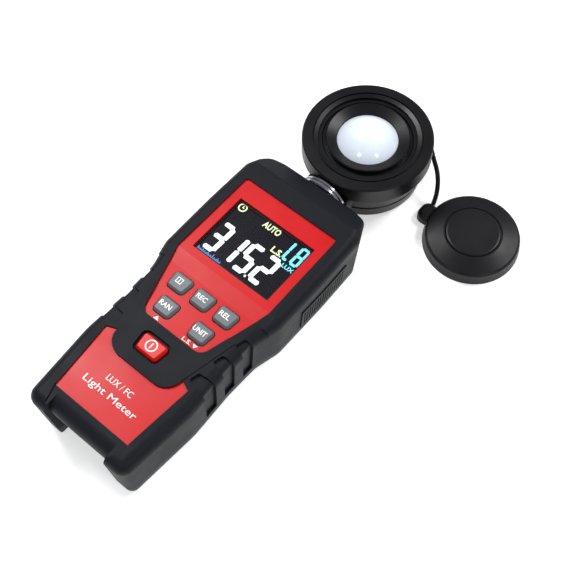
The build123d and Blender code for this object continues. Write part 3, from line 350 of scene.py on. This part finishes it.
def lettering(name, words, centre, width, height, low, high, weight=0.03):
    """Flat lettering as a mesh: the words fill a box of this width and height round a centre.

    Each point of the outlines is scaled from the words' own box to the given one, and the plate
    runs between two levels."""
    text = bpy.data.curves.new(name, "FONT")
    text.body = words
    text.offset = weight
    text.extrude = 0.5
    text.resolution_u = 3
    holder = bpy.data.objects.new(name, text)
    mesh = bpy.data.meshes.new_from_object(holder)
    bpy.data.objects.remove(holder)
    bpy.data.curves.remove(text)
    points = np.zeros(len(mesh.vertices) * 3)
    mesh.vertices.foreach_get("co", points)
    points = points.reshape(-1, 3)
    lowest, highest = points.min(0), points.max(0)
    shares = (points - lowest) / (highest - lowest)
    places = np.empty_like(points)
    places[:, 0] = (centre[0] + (shares[:, 0] - 0.5) * width) * millimetre
    places[:, 1] = (centre[1] + (shares[:, 1] - 0.5) * height) * millimetre
    places[:, 2] = low + shares[:, 2] * (high - low)
    mesh.vertices.foreach_set("co", places.ravel())
    mesh.name = name
    piece = bpy.data.objects.new(name, mesh)
    bpy.context.scene.collection.objects.link(piece)
    return piece


def ring_outlines(centre, outer, inner, parts=40, opening=0.0, middle=90.0):
    """Flat ring as a fan of short four-sided plates, left open over an angle about a direction."""
    sweep = 2 * pi - radians(opening)
    angles = radians(middle) + radians(opening) / 2 + sweep * np.arange(parts + 1) / parts
    circle = np.stack([np.cos(angles), np.sin(angles)], axis=1)
    centre = np.asarray(centre, float)
    return [
        np.array([centre + inner * circle[i], centre + outer * circle[i],
                  centre + outer * circle[i + 1], centre + inner * circle[i + 1]]) * millimetre
        for i in range(parts)
    ]


clock_centre = (-16.3, 11.1)
clock = ring_outlines(clock_centre, 2.0, 1.4, 28)
clock += [np.array(outline) * millimetre for outline in (
    [(-16.5, 10.9), (-16.1, 10.9), (-16.1, 12.1), (-16.5, 12.1)],
    [(-16.1, 10.9), (-15.6, 10.9), (-15.6, 11.3), (-16.1, 11.3)],
)]
display_clock = plates("display_clock", clock, mark_low, mark_high)
display_auto = lettering("display_auto", "AUTO", (-0.7, 11.0), 8.4, 3.1, mark_low, mark_high)
display_scale_mark = lettering("display_scale_mark", "L.S.", (7.6, 4.1), 5.0, 2.9, mark_low, mark_high)
display_lux = lettering("display_lux", "LUX", (15.6, 0.9), 5.6, 1.9, mark_low, mark_high)
lit_yellow = lit("lit_pale_yellow_segments", tint(238, 250, 190), 0.5)
for mark in (display_clock, display_auto, display_scale_mark):
    mark.data.materials.append(lit_yellow)
display_lux.data.materials.append(lit_cyan)
mask_width = 0.9 * millimetre
mask_low, mask_high = [np.array(corner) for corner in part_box("display_window")]
mask_sides = [
    (mask_low[0], mask_low[0] + mask_width, mask_low[1], mask_high[1]),
    (mask_high[0] - mask_width, mask_high[0], mask_low[1], mask_high[1]),
    (mask_low[0] + mask_width, mask_high[0] - mask_width, mask_low[1], mask_low[1] + mask_width),
    (mask_low[0] + mask_width, mask_high[0] - mask_width, mask_high[1] - mask_width, mask_high[1]),
]
mask_strips = [
    np.array([(left, near), (right, near), (right, far), (left, far)])
    for left, right, near, far in mask_sides
]
mask_lift, mask_thickness = 0.00002, 0.00003
mask_face = mask_low[2] + mask_lift
display_mask = plates("display_mask", mask_strips, mask_face, mask_face + mask_thickness)
mask_ink = moulded("black_mask_ink", tint(14, 14, 18), 0.4, 0.0003, 0.000002, specular=0.2, wear=0.0)
display_mask.data.materials.append(mask_ink)
for mark in (display_reading, display_side_digits, display_bar_scale, display_clock, display_auto,
             display_scale_mark, display_lux, display_mask):
    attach(mark, "housing")

# ---------------------------------------------------------------- grey keys
# Five push keys moulded in mid-grey ABS with sloping sides. Their legends are pad-printed in white
# on the crowns, and two of them have a second function printed on the plate below.
key_grey = moulded("grey_key_plastic", tint(98, 106, 110), 0.45, 0.00025, 0.00002,
                   mottle=0.05, specular=0.45, wear=0.12)
coat_nodes(key_grey, "key_hold", "key_record", "key_relative", "key_range", "key_unit")
legend_ink = moulded("white_legend_ink", tint(240, 240, 238), 0.5, 0.0002, 0.000004, mottle=0.04)
ink_thickness = 0.00002


def print_on(piece, body):
    """Inks a printed mark and lets it travel with the body it is printed on."""
    piece.data.materials.append(legend_ink)
    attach(piece, body)


legend_height, legend_lift = 2.2, 0.3
legend_centres = {
    "key_record": ("REC", -0.5, 4.9),
    "key_relative": ("REL", -0.5, 4.9),
    "key_range": ("RAN", -0.4, 5.5),
    "key_unit": ("UNIT", -0.4, 6.3),
}
for key_name, (words, shift, width) in legend_centres.items():
    low_corner, high_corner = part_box(key_name)
    crown = high_corner.z
    centre_x = (low_corner.x + high_corner.x) / 2 / millimetre + shift
    centre_y = (low_corner.y + high_corner.y) / 2 / millimetre + legend_lift
    legend = lettering(key_name + "_legend", words, (centre_x, centre_y), width, legend_height,
                       crown, crown + ink_thickness, weight=0.02)
    print_on(legend, key_name)

hold_low, hold_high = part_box("key_hold")
hold_shift_left, hold_shift_up = 0.5, 0.4
hold_x = (hold_low.x + hold_high.x) / 2 / millimetre - hold_shift_left
hold_y = (hold_low.y + hold_high.y) / 2 / millimetre + hold_shift_up


def strip(x_low, x_high, y_low, y_high):
    """Upright rectangle in plan."""
    return np.array([(x_low, y_low), (x_high, y_low), (x_high, y_high), (x_low, y_high)]) * millimetre


rail_half, rail_inner, rail_outer = 1.4, 0.95, 1.3
post_half, post_places = 0.2, (-1.2, 0, 1.2)
hold_mark = [
    strip(hold_x - rail_half, hold_x + rail_half, hold_y + rail_inner, hold_y + rail_outer),
    strip(hold_x - rail_half, hold_x + rail_half, hold_y - rail_outer, hold_y - rail_inner),
]
hold_mark += [
    strip(hold_x + x - post_half, hold_x + x + post_half, hold_y - rail_inner, hold_y + rail_inner)
    for x in post_places
]
print_on(plates("key_hold_legend", hold_mark, hold_high.z, hold_high.z + ink_thickness), "key_hold")

plate_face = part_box("front_housing")[1].z
deck_step = 0.0009
keypad_face = plate_face - deck_step
up_arrow = np.array([(-9.9, -48.3), (-7.5, -48.3), (-8.7, -46.6)]) * millimetre
down_arrow = np.array([(9.4, -46.7), (11.6, -46.7), (10.5, -48.2)]) * millimetre
print_on(plates("range_arrow", [up_arrow], keypad_face, keypad_face + ink_thickness), "housing")
print_on(plates("unit_arrow", [down_arrow], keypad_face, keypad_face + ink_thickness), "housing")
print_on(lettering("second_function_mark", "L.S.", (6.6, -47.4), 4.0, 1.7, keypad_face,
                   keypad_face + ink_thickness, weight=0.01), "housing")

# ---------------------------------------------------------------- power key
# The larger orange-red key, moulded in ABS, in its own moat in the rubber pad. It is pad-printed on
# its crown with a ring and a bar.
power_red = moulded("orange_red_key_plastic", tint(206, 22, 18), 0.36, 0.00025, 0.00001,
                    mottle=0.05, specular=0.35, wear=0.03)
coat_nodes(power_red, "key_power")
power_low, power_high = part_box("key_power")
power_x = (power_low.x + power_high.x) / 2 / millimetre
power_y = (power_low.y + power_high.y) / 2 / millimetre + legend_lift
ring_outer, ring_inner, ring_parts = 2.5, 2.0, 44
bar_half, bar_reach = 0.25, 1.25
power_mark = ring_outlines((power_x, power_y), ring_outer, ring_inner, ring_parts)
power_mark.append(strip(power_x - bar_half, power_x + bar_half, power_y - bar_reach, power_y + bar_reach))
print_on(plates("power_symbol", power_mark, power_high.z, power_high.z + ink_thickness), "key_power")

# ---------------------------------------------------------------- name on the lower plate
# What kind of instrument it is and the units it reads in, screen-printed in white ink straight onto
# the lower red plate.
print_on(lettering("plate_name_line", "Light Meter", (0.2, -82.3), 26.0, 3.6, keypad_face,
                   keypad_face + ink_thickness, weight=0.0), "housing")
print_on(lettering("plate_unit_line", "LUX / FC", (0.2, -76.6), 12.5, 2.6, keypad_face,
                   keypad_face + ink_thickness, weight=0.0), "housing")

# ---------------------------------------------------------------- rear shell and battery cover
# The back of the case and its battery cover, both moulded in black ABS with a fine texture. Screws
# hold the halves of the case together, and one more holds the cover.
coat_nodes(black_moulding, "rear_housing", "battery_door")

# ---------------------------------------------------------------- brass tripod insert
# A turned brass bush, heat-set into its boss in the back of the case, that takes the screw of a
# camera tripod.


def turned_metal(name, colour, roughness, line_scale, axis="Z"):
    """Bare metal: fine turning lines across one axis, faint tarnish and a drifting gloss."""
    material = bpy.data.materials.new(name)
    material.use_nodes = True
    tree = material.node_tree
    shader = tree.nodes["Principled BSDF"]
    shader.inputs["Metallic"].default_value = 1.0
    place = tree.nodes.new("ShaderNodeTexCoord")
    stretch = tree.nodes.new("ShaderNodeMapping")
    scale_along_lines, tarnish_scale = 40.0, 250.0
    tarnish_shade = 0.75
    gloss_below, gloss_above = 0.06, 0.1
    line_depth = 0.00001
    squeeze = [scale_along_lines] * 3
    squeeze["XYZ".index(axis)] = line_scale
    stretch.inputs["Scale"].default_value = squeeze
    lines = tree.nodes.new("ShaderNodeTexNoise")
    lines.inputs["Scale"].default_value = 1.0
    lines.inputs["Detail"].default_value = 3.0
    tarnish = tree.nodes.new("ShaderNodeTexNoise")
    tarnish.inputs["Scale"].default_value = tarnish_scale
    tarnish.inputs["Detail"].default_value = 4.0
    tree.links.new(place.outputs["Object"], stretch.inputs["Vector"])
    tree.links.new(stretch.outputs["Vector"], lines.inputs["Vector"])
    tree.links.new(place.outputs["Object"], tarnish.inputs["Vector"])
    shade = tree.nodes.new("ShaderNodeMix")
    shade.data_type = "RGBA"
    shade.inputs["A"].default_value = (*[tarnish_shade * c for c in colour[:3]], 1.0)
    shade.inputs["B"].default_value = colour
    tree.links.new(tarnish.outputs["Fac"], shade.inputs["Factor"])
    tree.links.new(shade.outputs["Result"], shader.inputs["Base Color"])
    gloss = tree.nodes.new("ShaderNodeMapRange")
    gloss.inputs["To Min"].default_value = roughness - gloss_below
    gloss.inputs["To Max"].default_value = roughness + gloss_above
    tree.links.new(lines.outputs["Fac"], gloss.inputs["Value"])
    tree.links.new(gloss.outputs["Result"], shader.inputs["Roughness"])
    bump = tree.nodes.new("ShaderNodeBump")
    bump.inputs["Strength"].default_value = 0.3
    bump.inputs["Distance"].default_value = line_depth
    tree.links.new(lines.outputs["Fac"], bump.inputs["Height"])
    tree.links.new(bump.outputs["Normal"], shader.inputs["Normal"])
    return material


insert_brass = turned_metal("turned_brass", tint(200, 160, 84), 0.3, 9000.0)
coat_nodes(insert_brass, "tripod_insert")

# ---------------------------------------------------------------- screws and switch cans
# Zinc-plated steel screws that hold the halves, the board, the head and the cover, and the small
# pressed steel cans of the key switches.
plated_steel = turned_metal("zinc_plated_steel", tint(186, 188, 192), 0.35, 3000.0)
coat_nodes(plated_steel, "housing_screws", "board_screws", "head_screws", "battery_door_screw",
           "key_switches")

# ---------------------------------------------------------------- boards, chips and leads
# Green glass-epoxy boards with black moulded chips and a white crimp connector, and the leads in
# PVC sleeves that join them to the cells and the sensor.
board_green = moulded("green_solder_mask", tint(30, 96, 52), 0.35, 0.0006, 0.00001, mottle=0.2)
coat_nodes(board_green, "main_board", "sensor_board")
chip_black = moulded("black_chip_epoxy", tint(28, 28, 29), 0.6, 0.0002, 0.00002)
coat_nodes(chip_black, "board_chips")
connector_white = moulded("natural_nylon", tint(226, 222, 208), 0.5, 0.0004, 0.00001)
coat_nodes(connector_white, "sensor_connector")
lead_red = moulded("red_lead_sleeve", tint(190, 30, 30), 0.4, 0.0003, 0.00001)
coat_nodes(lead_red, "battery_lead_positive")
lead_black = moulded("black_lead_sleeve", tint(26, 26, 28), 0.45, 0.0003, 0.00001)
coat_nodes(lead_black, "battery_lead_negative", "sensor_cable", "sensor_cable_tail")

# ---------------------------------------------------------------- cells and their contacts
# Three dry cells, each in a printed shrink sleeve. Nickel-plated plates and coil springs at their
# ends carry the current.
cell_sleeve = moulded("dark_cell_sleeve", tint(44, 58, 84), 0.25, 0.0005, 0.000005)
coat_nodes(cell_sleeve, "battery_1", "battery_2", "battery_3")
nickel = turned_metal("nickel_plate", tint(204, 202, 196), 0.25, 2500.0)
coat_nodes(nickel, "battery_contacts", "battery_springs")

# ---------------------------------------------------------------- neck
# The collar that the head turns on, a dark polished turned ring, and the steel swivel inside it:
# hollow shaft, nut, stop disc, washer and clip.
collar_metal = turned_metal("dark_polished_collar", tint(176, 178, 184), 0.14, 6000.0, axis="Y")
coat_nodes(collar_metal, "neck_collar")
swivel_steel = turned_metal("bright_turned_steel", tint(190, 191, 194), 0.28, 6000.0, axis="Y")
coat_nodes(swivel_steel, "neck_nut", "swivel_shaft", "stop_disc", "swivel_washer", "swivel_clip",
           "tether_anchor")

# ---------------------------------------------------------------- sensor head
# Two black ABS shells screwed together, a conical ring round the dome, and the holder that carries
# the colour filter above the photodiode.
head_black = moulded("black_satin_head_plastic", tint(12, 12, 15), 0.34, 0.0003, 0.000012,
                     mottle=0.1, specular=0.22, wear=0.01)
coat_nodes(head_black, "head_shell", "head_bezel", "light_cone", "filter_holder")
diode_black = moulded("photodiode_case", tint(24, 26, 40), 0.2, 0.0004, 0.000002)
coat_nodes(diode_black, "photodiode")
filter_green = moulded("green_filter_glass", tint(150, 190, 160), 0.06, 0.0006, 0.000001, wear=0.0)
filter_green.node_tree.nodes["Principled BSDF"].inputs["Alpha"].default_value = 0.5
coat_nodes(filter_green, "color_filter")

# ---------------------------------------------------------------- diffuser dome
# A glossy opal dome, moulded in white diffusing acrylic, that evens out the light before it reaches
# the colour filter.
opal_white = moulded("opal_white_acrylic", tint(222, 231, 244), 0.12, 0.0008, 0.0000008,
                     mottle=0.02, specular=0.5, wear=0.0)
opal_shader = opal_white.node_tree.nodes["Principled BSDF"]
opal_shader.inputs["Subsurface Weight"].default_value = 0.25
opal_shader.inputs["Subsurface Radius"].default_value = (0.004, 0.004, 0.005)
opal_shader.inputs["Subsurface Scale"].default_value = 0.5
coat_nodes(opal_white, "diffuser_dome")

# ---------------------------------------------------------------- sensor cap
# The push-on cap that covers the dome, moulded in black plastic with a ring groove in its crown. A
# lug on its side holds the end of the tether.
cap_black = moulded("black_satin_cap_plastic", tint(15, 15, 18), 0.40, 0.0003, 0.000015,
                    mottle=0.1, specular=0.2, wear=0.01)
coat_nodes(cap_black, "sensor_cap")

# ---------------------------------------------------------------- cap tether
# A soft rubber leash, moulded in one length, from a steel pin under the head's rim to the lug on the
# cap. It droops off the head's side and meets the lug low down. Its stretch under the rim is assumed.
tether_width = 0.002
tether_route = [
    (0.01512, 0.09630, 0.01500),
    (0.02030, 0.09270, 0.01510),
    (0.02460, 0.08870, 0.01480),
    (0.02860, 0.08600, 0.01300),
    (0.03140, 0.08360, 0.00980),
    (0.03330, 0.08080, 0.00660),
    (0.03430, 0.07840, 0.00440),
    (0.03480, 0.07630, 0.00300),
]
tether_curve = bpy.data.curves.new("rubber_tether", "CURVE")
tether_curve.dimensions = "3D"
tether_line = tether_curve.splines.new("NURBS")
tether_line.points.add(len(tether_route) - 1)
for point, place in zip(tether_line.points, tether_route):
    point.co = (*place, 1.0)
tether_line.order_u = 3
tether_line.use_endpoint_u = True
tether_line.resolution_u = 12
tether_curve.bevel_depth = tether_width / 2
tether_curve.bevel_resolution = 6
tether_curve.use_fill_caps = True
rubber_tether = bpy.data.objects.new("rubber_tether", tether_curve)
bpy.context.scene.collection.objects.link(rubber_tether)
tether_rubber = moulded("black_tether_rubber", tint(14, 14, 16), 0.6, 0.00025, 0.00002,
                        specular=0.15, wear=0.02)
tether_curve.materials.append(tether_rubber)
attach(rubber_tether, "cap")
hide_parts("cap_tether")
